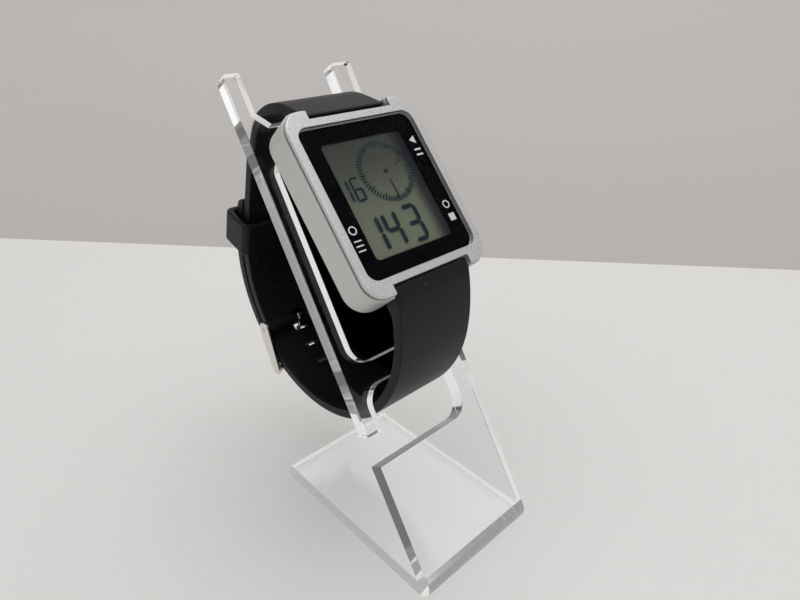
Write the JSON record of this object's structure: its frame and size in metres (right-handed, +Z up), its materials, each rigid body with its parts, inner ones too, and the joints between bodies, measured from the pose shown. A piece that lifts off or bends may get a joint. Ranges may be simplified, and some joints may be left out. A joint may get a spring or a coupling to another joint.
{
  "type": "digital wrist watch on a clear display stand",
  "caption": "Rectangular digital wrist watch with a buckled rubber strap, hanging closed over the notch of a clear bent-sheet display stand.",
  "frame": {"origin": "middle of the stand's flat underside", "axes": "+Z up, -Y toward the side the dial faces, +X to the right of someone reading the dial"},
  "size_m": [0.0372, 0.0858, 0.1101],
  "materials": {
    "stand": "clear polished acrylic, bright cut edges",
    "bezel": "grainy bead-blasted silver",
    "case_body": "smooth satin grey-green silver",
    "lens": "polished, chamfered rim",
    "mask": "gloss black print",
    "touch_pads": "thin plated electrodes",
    "lcd_panel": "grey-green liquid crystal cell",
    "reflector": "white reflector film",
    "zebra_strips": "striped conductive rubber",
    "module_holder": "moulded, off-white",
    "circuit_board": "green solder mask",
    "chip_cover": "black resin blob",
    "quartz_crystal": "drawn can",
    "coin_cell": "stainless",
    "cell_leaf": "spring leaf",
    "cell_strap": "pressed strip",
    "sounder": "piezo disc",
    "contact_spring": "plated wire",
    "gasket": "black sealing ring",
    "case_back": "brushed stainless plate",
    "back_screws": "small slotted screws",
    "spring_bar_12": "stainless",
    "spring_bar_6": "stainless",
    "strap_12": "matte black silicone",
    "strap_6": "matte black silicone",
    "buckle_frame": "polished stainless",
    "buckle_bar": "stainless",
    "buckle_tongue": "polished stainless",
    "keeper": "matte black silicone"
  },
  "bodies": {
    "stand_body": {"stand": "stand"},
    "watch_head": {"bezel": "bezel", "case_body": "case_body", "lens": "lens", "mask": "mask", "touch_pads": "touch_pads", "lcd_panel": "lcd_panel", "reflector": "reflector", "zebra_strips": "zebra_strips", "module_holder": "module_holder", "circuit_board": "circuit_board", "chip_cover": "chip_cover", "quartz_crystal": "quartz_crystal", "coin_cell": "coin_cell", "cell_leaf": "cell_leaf", "cell_strap": "cell_strap", "sounder": "sounder", "contact_spring": "contact_spring", "gasket": "gasket", "case_back": "case_back", "back_screws": "back_screws", "spring_bar_12": "spring_bar_12", "spring_bar_6": "spring_bar_6"},
    "short_strap": {"strap_12": "strap_12", "buckle_bar": "buckle_bar"},
    "long_strap": {"strap_6": "strap_6"},
    "buckle": {"buckle_frame": "buckle_frame"},
    "tongue": {"buckle_tongue": "buckle_tongue"},
    "strap_keeper": {"keeper": "keeper"}
  },
  "joints": [
    {"name": "watch_lift", "type": "slide", "parent": "stand_body", "child": "watch_head", "axis": [0, 0.5461, 0.8377], "range_m": [0, 0.0018]},
    {"name": "short_strap_hinge", "type": "hinge", "parent": "watch_head", "child": "short_strap", "pos_m": [-0.0009, 0.01839, 0.10184], "axis": [1, 0, 0], "range_deg": [-0.15, 0.15]},
    {"name": "long_strap_hinge", "type": "hinge", "parent": "watch_head", "child": "long_strap", "pos_m": [-0.0009, -0.00908, 0.07101], "axis": [1, 0, 0], "range_deg": [-0.15, 0.15]},
    {"name": "buckle_frame_hinge", "type": "hinge", "parent": "short_strap", "child": "buckle", "pos_m": [-0.0009, 0.0412, 0.04103], "axis": [1, 0, 0], "range_deg": [0, 2]},
    {"name": "buckle_tongue_hinge", "type": "hinge", "parent": "buckle", "child": "tongue", "pos_m": [-0.0009, 0.0412, 0.04103], "axis": [1, 0, 0], "range_deg": [0, 4]},
    {"name": "keeper_slide", "type": "slide", "parent": "short_strap", "child": "strap_keeper", "axis": [0, -0.2822, 0.9594], "range_m": [0, 0.015]}
  ]
}
